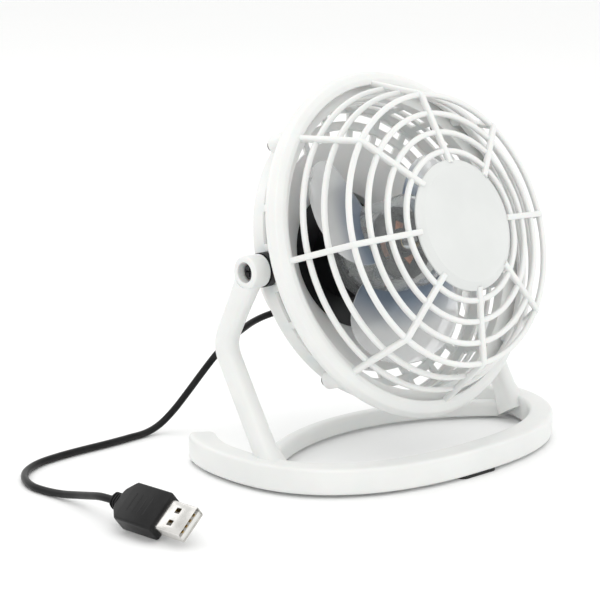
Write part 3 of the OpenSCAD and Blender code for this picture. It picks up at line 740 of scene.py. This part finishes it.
def makeBaseBar(v):
    # the open loop that the fan stands on; its tails swell a little and end round
    half = v["bar"] / 2
    line = []
    for i in range(v["steps"] + 1):
        angle = v["tail"] - i * (180 + 2 * v["tail"]) / v["steps"]
        x, y = oval(v["halfWidth"] - half, v["halfDepth"] - half, angle, v["square"])
        line.append(Vector((x, y + v["centre"])))
    travel = [0]
    for a, b in zip(line, line[1:]):
        travel.append(travel[-1] + (b - a).length)
    full = travel[-1]
    sections = []

    def section(centre, outward, width, top, low):
        outline = rounded([(-width, low), (width, low), (width, top), (-width, top)],
                          [min(r, width * 0.8) for r in (v["under"], v["under"], v["edge"], v["edge"])], 5)
        return [(centre.x + outward.x * u, centre.y + outward.y * u, z) for u, z in outline]

    def capSection(p, step, outward, width, top, t):
        # a slice of the round end, where t runs from 0 at the bar to 1 at the tip
        reach = math.sqrt(max(0.0, 1 - t * t))
        return section(p + step * width * t, outward, max(0.3, width * reach),
                       top - v["capDrop"] * t ** 4, padHeight + v["capRise"] * t ** 4)

    for i, p in enumerate(line):
        ahead = (line[min(i + 1, len(line) - 1)] - line[max(i - 1, 0)]).normalized()
        outward = Vector((ahead.y, -ahead.x))
        if outward.dot(p - Vector((0, v["centre"]))) < 0:
            outward = -outward
        near = min(travel[i], full - travel[i])
        swell = max(0.0, 1 - near / v["swellReach"])
        swell = swell * swell * (3 - 2 * swell)
        width = half + v["swell"] * swell
        top = v["top"] - 0.1 * (1 - swell)
        if i == 0:
            sections += [capSection(p, -ahead, outward, width, top, 1 - k / v["capRows"])
                         for k in range(v["capRows"])]
        sections.append(section(p, outward, width, top, padHeight))
        if i == len(line) - 1:
            sections += [capSection(p, ahead, outward, width, top, (k + 1) / v["capRows"])
                         for k in range(v["capRows"])]
    return loft("baseBar", sections, whitePlastic, smoothUnder=50)


backShape = {"half": 62, "sag": 22, "middle": 22.12, "width": 6, "top": 7.4, "reach": 66, "steps": 40}


def makeBackBar(v):
    # the low cross bar that joins the feet of the legs
    r = (v["half"] ** 2 + v["sag"] ** 2) / (2 * v["sag"])
    reach = math.asin(v["reach"] / r)
    half = v["width"] / 2
    sections = []
    for i in range(v["steps"] + 1):
        a = -reach + 2 * reach * i / v["steps"]
        out = Vector((math.sin(a), math.cos(a)))
        centre = Vector((0, v["middle"] - r)) + out * r
        outline = rounded([(-half, padHeight), (half, padHeight), (half, v["top"]), (-half, v["top"])],
                          [0.6, 0.6, 2.2, 2.2], 4)
        sections.append([(centre.x + out.x * u, centre.y + out.y * u, z) for u, z in outline])
    return loft("backBar", sections, whitePlastic, smoothUnder=50)


legShape = {"footX": 68, "kneeX": 69, "topX": 66.3, "foot": (-8.9, 6), "knee": (17.12, 49.3),
            "size": 8.5, "flare": 6.2, "kneeRound": 7, "topGrowth": 1.3, "sides": 28, "square": 2.6}


def makeLeg(v, side):
    # one leg: up and back from the base to the knee, then forward to the pivot
    foot, knee = Vector(v["foot"]), Vector(v["knee"])
    top = Vector((axisY, pivotHeight))
    lean = (knee - foot).normalized()
    rise = (top - knee).normalized()
    rounding = v["kneeRound"]
    thick = v["size"] / 2
    line = [(foot - lean * 2, v["flare"]), (foot + lean * 2, v["flare"] - 0.4), (foot + lean * 5, 5.0),
            (foot + lean * 9, thick + 0.1), (foot + lean * 16, thick)]
    reach = (knee - foot).length - rounding
    line += [(foot + lean * (16 + (reach - 16) * k / 4), thick) for k in range(1, 5)]
    a, b = knee - lean * rounding, knee + rise * rounding
    for k in range(1, 9):
        t = k / 9
        line.append((a * (1 - t) ** 2 + knee * 2 * t * (1 - t) + b * t * t, thick + 0.1 * t))
    climb = (top - knee).length
    for k in range(7):
        t = k / 6
        line.append((b + rise * (climb - rounding) * t, thick + 0.1 + v["topGrowth"] * t ** 1.6))
    sections = []
    for i, (p, r) in enumerate(line):
        ahead = (line[min(i + 1, len(line) - 1)][0] - line[max(i - 1, 0)][0]).normalized()
        normal = Vector((ahead.y, -ahead.x))
        below = max(0.0, min(1.0, (p.y - foot.y) / (knee.y - foot.y)))
        above = max(0.0, (p.y - knee.y) / (top.y - knee.y))
        across = v["footX"] + (v["kneeX"] - v["footX"]) * below + (v["topX"] - v["kneeX"]) * above
        flat = 1 - 0.34 * above
        ring = []
        for k in range(v["sides"]):
            a = 2 * math.pi * k / v["sides"]
            c, s = math.cos(a), math.sin(a)
            bulge = 0.985 / (abs(c) ** v["square"] + abs(s) ** v["square"]) ** (1 / v["square"])
            u, w = r * bulge * c, r * bulge * s * flat
            ring.append((side * (across + w), p.x + normal.x * u, p.y + normal.y * u))
        sections.append(ring)
    return loft("leg", sections, whitePlastic, smoothUnder=60)


bossShape = {"inside": 62.32, "outside": 70.15, "radius": 6.15, "hole": 1.6, "recess": 3.75,
             "recessFloor": 65.52, "clearing": 5.6}


def alongPivot(side):
    # turns a shape drawn along z to point out along the pivot, on the given side
    return Matrix.Translation(pivotPoint) @ Matrix.Rotation(side * math.pi / 2, 4, "Y")


def makeBoss(v, side):
    # round end of the leg, with the recess that the tilt screw sits in
    corners = [(v["hole"], v["inside"]), (v["radius"], v["inside"]), (v["radius"], v["outside"]),
               (v["recess"], v["outside"]), (v["recess"], v["recessFloor"]), (v["hole"], v["recessFloor"])]
    outline = rounded(corners, [0.2, 0.7, 2.3, 0.5, 0.2, 0.1], 5)
    return lathe("boss", outline, whitePlastic, alongPivot(side), turns=72)


def openRecess(piece, v):
    # clears the legs' ends out of the screw recesses
    outline = [(0, 60), (v["clearing"], 60), (v["clearing"], 80), (0, 80)]
    cutters = [lathe("recess", outline, whitePlastic, alongPivot(side), 48) for side in (-1, 1)]
    cutAway(piece, cutters, 50, ownSelf=True)
    piece.data.materials.clear()
    piece.data.materials.append(whitePlastic)


stand = joined("standBody", [makeBaseBar(baseShape), makeBackBar(backShape),
                             makeLeg(legShape, 1), makeLeg(legShape, -1)])
openRecess(stand, bossShape)
stand = joined("standBody", [stand, makeBoss(bossShape, 1), makeBoss(bossShape, -1)])
print("stand made")


# ---- front guard ----

rimOutline = rounded([(65.5, 11.8), (67.0, 11.8), (67.5, 12.8), (67.5, 14.2), (66.4, 16.7), (63.8, 17.8),
                      (61.6, 17.8), (61.6, 16.1), (63.2, 15.8), (65.5, 13.6)],
                     [0.2, 0.4, 0.7, 1.2, 1.6, 1.4, 0.5, 0.4, 1.2, 1.0], 4)
frontRim = lathe("frontRim", rimOutline, whitePlastic, turns=160)
capOutline = rounded([(0, 45.7), (24.9, 45.7), (25, 46.5), (22, 48.3), (0, 48.6)], [0, 0.3, 0.4, 0.5, 0], 4)
frontCap = lathe("frontCap", capOutline, capSatin, turns=128)
cageBars = {"Bar Width": 2.15 * mm, "Bar Depth": 2.1 * mm, "Corner": 0.75 * mm, "Finish": whitePlastic}
sideHoops = grow("sideHoops", hoops, {**cageBars, "Count": 2,
                                      "First Radius": 58.3 * mm, "Last Radius": 54.8 * mm,
                                      "First Height": 22.6 * mm, "Last Height": 30.2 * mm})
faceHoops = grow("faceHoops", hoops, {**cageBars, "Count": 4,
                                      "First Radius": 51.5 * mm, "Last Radius": 28.4 * mm,
                                      "First Height": 39.6 * mm, "Last Height": 45.3 * mm})
cageSpokes = grow("cageSpokes", spokes, {**cageBars, "Count": 8, "Bend": 3 * mm,
                                         "Bar Width": 2.3 * mm, "Bar Depth": 2.4 * mm},
                  line=[(62.2, 16.9), (51.6, 40.4), (23.6, 46.8)])
screwRing = Matrix.Translation(Vector((63.4, 0, 0)) * mm)  # where the guard screws stand
fourScrews = {"Count": 4, "First Angle": math.pi / 4, "Finish": whitePlastic}
post = lathe("post", rounded([(0.9, 13.3), (2.1, 13.3), (2.4, 16.9), (0.9, 16.9)], [0.1, 0.4, 0.1, 0.1], 3),
             whitePlastic, screwRing, turns=36)
posts = grow("posts", spun, fourScrews, seed=post)
frontGuard = joined("frontGuard", [frontRim, frontCap, sideHoops, faceHoops, cageSpokes, posts])

# ---- rear guard ----

rearShape = {"outside": 58.6, "inside": 57, "wallBack": -6, "dishDepth": 10.5, "dishSpan": 29.6,
             "hoopRadius": 51.3, "hoopBack": 0.9, "dishEdge": 45.2, "ribs": 24, "thickness": 1.7}


def rearHeight(r):
    # the dish falls away behind the wall towards its middle
    v = rearShape
    return v["wallBack"] - v["dishDepth"] * ((v["outside"] - r) / v["dishSpan"]) ** 1.5


def rearRing(name, corners, radius):
    return lathe(name, rounded(corners, radius, 3), whitePlastic, turns=160)


def makeRearRings(v):
    a, b, back = v["inside"], v["outside"], v["wallBack"]
    low = rearHeight(v["hoopRadius"])
    return [
        rearRing("rearFlange", [(a, 8.5), (b, 8.5), (b, 11.2), (65.1, 11.2), (65.1, 13.2), (a, 13.2)],
                 [0.4, 0.4, 0.8, 0.5, 0.5, 0.4]),
        rearRing("wallHoop", [(a, 3.6), (b, 3.6), (b, 5.4), (a, 5.4)], 0.4),
        rearRing("wallFoot", [(56, back), (58.2, back), (b, -5), (b, 0.4), (a, 0.4), (a, -4.2),
                              (56, -4.2)], 0.4),
        rearRing("dishHoop", [(49.6, low - 0.2), (53, low + 0.2), (53, low + 1.9), (49.6, low + 1.7)], 0.4),
    ]


def makeRearRibs(v):
    bars = {"Corner": 0.4 * mm, "Count": v["ribs"], "First Angle": math.pi / v["ribs"],
            "Finish": whitePlastic}
    wallBars = {**bars, "Bar Width": 3.0 * mm, "Bar Depth": 1.5 * mm, "Bend": 0.5 * mm}
    dishBars = {**bars, "Bar Width": 2.8 * mm, "Bar Depth": 1.7 * mm, "Bend": 3 * mm}
    dishLine = [(57.6, -5)] + [(r, rearHeight(r) + v["hoopBack"]) for r in (v["hoopRadius"], v["dishEdge"])]
    return [grow("wallRibs", spokes, wallBars, line=[(57.8, -3), (57.8, 9.2)]),
            grow("dishRibs", spokes, dishBars, line=dishLine)]


def makeRearDish(v):
    # solid dish with the round neck that the rear cover fits over
    outline = ([(r, rearHeight(r)) for r in (46.4, 43, 40, 37, 34, 31.4)]
               + [(30, -17.6), (30, -36), (27.6, -36), (27.6, -16.4), (29, -15)]
               + [(r, rearHeight(r) + v["thickness"]) for r in (32, 35, 38, 41, 43.6, 46.4)])
    return lathe("rearDish", outline, whitePlastic, turns=160)


rearParts = makeRearRings(rearShape) + makeRearRibs(rearShape) + [makeRearDish(rearShape)]
lug = lathe("lug", rounded([(1.3, 3.8), (3.5, 3.8), (3.6, 11.6), (1.3, 11.6)], [0.2, 0.6, 0.1, 0.1], 3),
            whitePlastic, screwRing, turns=40)
rearParts.append(grow("lugs", spun, fourScrews, seed=lug))
tiltOutline = rounded([(1.55, 53), (5.6, 53), (5.6, 58.7), (1.55, 58.7)], [0.1, 0.8, 0.4, 0.1], 3)
tiltBoss = lathe("tiltBoss", tiltOutline, whitePlastic, Matrix.Rotation(math.pi / 2, 4, "Y"), turns=48)
rearParts.append(grow("tiltBosses", spun, {"Count": 2, "Finish": whitePlastic}, seed=tiltBoss))
rearGuard = joined("rearGuard", rearParts)
print("guards made")


# ---- blades ----

bladeShape = {"count": 3, "first": 30, "rootRadius": 17.4, "tipRadius": 46.2, "rootPitch": 26,
              "tipPitch": 17, "middle": 8, "thickness": 1.1, "camber": 1.4, "sweep": -10, "shadeEnds": 34,
              "rootHalf": 16, "growth": 17, "rows": 26, "cols": 18}


def bladeHalf(v, t):
    # half the blade's width, which grows outwards and then closes in a round tip
    return (v["rootHalf"] + v["growth"] * t ** 0.8) * math.sqrt(max(0.0, 1 - t ** 3))


# stores the per-point tint: painted shade on the blades, an even light tint on the hub
def addTintAndShade(piece, values):
    piece.data.attributes.new("tintAndShade", "FLOAT", "POINT").data.foreach_set("value", values)


def makeBlade(v):
    rows, cols = v["rows"], v["cols"]
    upper, lower, tintAndShade = [], [], []
    for i in range(rows + 1):
        t = min(1 - (1 - i / rows) ** 1.7, 0.9995)  # rows crowd towards the round tip
        r = v["rootRadius"] + t * (v["tipRadius"] - v["rootRadius"])
        half = max(0.4, bladeHalf(v, t))
        pitch = math.radians(v["rootPitch"] + (v["tipPitch"] - v["rootPitch"]) * t)
        for j in range(cols + 1):
            s = -math.cos(math.pi * j / cols)
            arc = s * half / r           # chord wraps round the axis
            lift = v["camber"] * (1 - s * s) * (0.4 + 0.6 * t)
            z = v["middle"] + s * half * math.sin(pitch) + lift
            angle = arc * math.cos(pitch) + math.radians(v["sweep"]) * t * t
            thin = v["thickness"] / 2 * math.sqrt(max(0.02, 1 - s ** 6)) * (1 - 0.25 * t)
            p = Vector((r * math.cos(angle), r * math.sin(angle), z))
            upper.append(p + Vector((0, 0, thin)))
            lower.append(p - Vector((0, 0, thin)))
            # painted shade on the blades next to the hub, and clear at the edges
            inside = 0 if j in (0, cols) or i == rows else 1
            tintAndShade.append(inside * max(0.0, min(1.0, 1.25 * (v["shadeEnds"] - r) / (v["shadeEnds"] - 18))))
    n = cols + 1
    count = len(upper)
    faces = []
    for i in range(rows):
        for j in range(cols):
            a = i * n + j
            faces.append((a, a + 1, a + n + 1, a + n))
            faces.append((count + a, count + a + n, count + a + n + 1, count + a + 1))
    edge = (list(range(n)) + [i * n + cols for i in range(1, rows + 1)]
            + [rows * n + j for j in range(cols - 1, -1, -1)] + [i * n for i in range(rows - 1, 0, -1)])
    for k, a in enumerate(edge):
        b = edge[(k + 1) % len(edge)]
        faces.append((a, count + a, count + b, b))
    blade = solid("blade", upper + lower, faces, bladeClear, None, 55)
    addTintAndShade(blade, tintAndShade + tintAndShade)
    return blade


hubOutline = rounded([(1.05, 16.1), (3, 16.1), (3, 20.4), (15.6, 20.4), (16.8, 19.2), (16.8, -8), (18, -8),
                      (18, 20.2), (16.2, 22), (0, 22.2), (0, 20.5), (1.05, 20.5)],
                     [0.1, 0.2, 0.3, 0.6, 0.8, 0.3, 0.3, 1.4, 1.4, 0, 0, 0.1], 3)
hub = lathe("hub", hubOutline, hubClear, turns=96)
blades = grow("blades", spun, {"Count": bladeShape["count"], "First Angle": math.radians(bladeShape["first"]),
                               "Finish": bladeClear}, seed=makeBlade(bladeShape), smoothUnder=55)
addTintAndShade(hub, [0.2] * len(hub.data.vertices))
impeller = joined("clearImpeller", [hub, blades])
print("blades made")


# ---- finishes of the pieces carried over, and what each new piece rides on ----

carried = {
    "foot_pads": padRubber, "pivot_spacers": pivotBlack, "pivot_screws": screwDark,
    "guard_screws": screwDark, "motor_cup": blackPlastic, "rear_cover": whitePlastic,
    "cover_screws": screwSteel, "motor_can": canSteel,
    "motor_magnets": magnetGrey, "motor_front_cap": blackPlastic, "motor_rear_cap": blackPlastic,
    "motor_bushings": brassBright, "motor_brushes": brassBright, "motor_shaft": screwSteel,
    "armature_core": canSteel, "armature_windings": copperWire, "commutator": copperWire,
    "switch_body": blackPlastic, "switch_rocker": blackPlastic, "switch_terminals": brassBright,
    "lead_wires": redInsulation, "strain_relief": cordSheath, "plug_tongue": tongueWhite,
    "plug_contacts": brassBright, "stand_frame": whitePlastic, "front_rim": whitePlastic,
    "front_cage": whitePlastic, "front_grille": whitePlastic, "rear_wall": whitePlastic,
    "rear_dish": whitePlastic, "impeller": bladeClear, "cord": cordSheath, "cord_lead": cordSheath,
    "plug_body": plugBlack, "plug_shell": shellChrome,
}
for name, finish in carried.items():
    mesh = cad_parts[name].data
    mesh.materials.clear()
    mesh.materials.append(finish)

riding = [
    (stand, "stand", "white_plastic", ["stand_frame"]),
    (frontGuard, "head", "white_plastic", ["front_rim", "front_cage", "front_grille"]),
    (rearGuard, "head", "white_plastic", ["rear_wall", "rear_dish"]),
    (impeller, "rotor", "clear_plastic", ["impeller"]),
    (plugGrip, "stand", "plug_black", ["plug_body"]),
    (plugShell, "stand", "plug_chrome", ["plug_shell"]),
]
for piece, body, slotName, nodes in riding:
    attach(piece, body)
    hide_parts(*nodes)

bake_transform(cordTube)
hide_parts("cord", "cord_lead")
